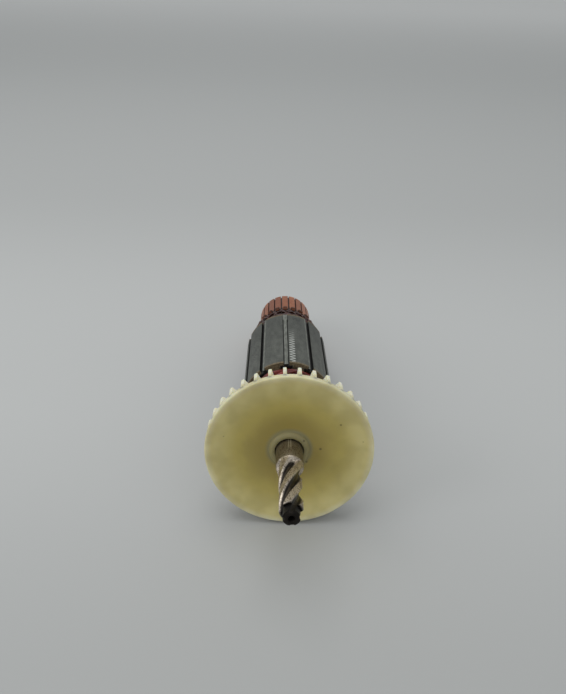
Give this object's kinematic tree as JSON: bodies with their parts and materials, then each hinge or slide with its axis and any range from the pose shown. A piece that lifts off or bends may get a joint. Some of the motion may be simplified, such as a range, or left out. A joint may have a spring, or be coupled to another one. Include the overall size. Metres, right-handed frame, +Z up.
{
  "type": "motor armature",
  "caption": "Wound rotor of a small universal motor: steel shaft with a helical pinion, bladed nylon fan, laminated core with red windings and a copper hook commutator.",
  "frame": {"origin": "on the ground under the middle of the part's bounding box, with the armature lying on its side", "axes": "+Y from the pinion towards the commutator along the ground, +Z up, +X to the right when looking along +Y"},
  "size_m": [0.062, 0.1837, 0.0633],
  "materials": {
    "shaft_steel": "ground steel, oily at the pinion",
    "insulating_tube": "plain resin tube",
    "core_steel": "turned edges of steel sheets, lightly lacquered",
    "fibre_board": "pressed fibre board",
    "slot_paper": "lacquered insulating paper",
    "enamelled_wire": "red enamelled copper wire under varnish",
    "fan_nylon": "natural nylon, slightly translucent",
    "bush_brass": "turned brass",
    "commutator_resin": "moulded phenolic resin",
    "bar_copper": "copper, turned and worn by brushes"
  },
  "bodies": {
    "root": {"shaft": "shaft_steel", "shaft_insulation": "insulating_tube", "lamination_stack": "core_steel", "front_end_board": "fibre_board", "rear_end_board": "fibre_board", "slot_liners": "slot_paper", "slot_wedge_1": "slot_paper", "slot_wedge_2": "slot_paper", "slot_wedge_3": "slot_paper", "slot_wedge_4": "slot_paper", "slot_wedge_5": "slot_paper", "slot_wedge_6": "slot_paper", "slot_wedge_7": "slot_paper", "slot_wedge_8": "slot_paper", "slot_wedge_9": "slot_paper", "slot_wedge_10": "slot_paper", "slot_wedge_11": "slot_paper", "coil_1": "enamelled_wire", "coil_2": "enamelled_wire", "coil_3": "enamelled_wire", "coil_4": "enamelled_wire", "coil_5": "enamelled_wire", "coil_6": "enamelled_wire", "coil_7": "enamelled_wire", "coil_8": "enamelled_wire", "coil_9": "enamelled_wire", "coil_10": "enamelled_wire", "coil_11": "enamelled_wire", "coil_leads": "enamelled_wire", "fan": "fan_nylon", "commutator_bush": "bush_brass", "commutator_moulding": "commutator_resin", "commutator_bar_1": "bar_copper", "commutator_bar_2": "bar_copper", "commutator_bar_3": "bar_copper", "commutator_bar_4": "bar_copper", "commutator_bar_5": "bar_copper", "commutator_bar_6": "bar_copper", "commutator_bar_7": "bar_copper", "commutator_bar_8": "bar_copper", "commutator_bar_9": "bar_copper", "commutator_bar_10": "bar_copper", "commutator_bar_11": "bar_copper", "commutator_bar_12": "bar_copper", "commutator_bar_13": "bar_copper", "commutator_bar_14": "bar_copper", "commutator_bar_15": "bar_copper", "commutator_bar_16": "bar_copper", "commutator_bar_17": "bar_copper", "commutator_bar_18": "bar_copper", "commutator_bar_19": "bar_copper", "commutator_bar_20": "bar_copper", "commutator_bar_21": "bar_copper", "commutator_bar_22": "bar_copper"}
  },
  "joints": []
}
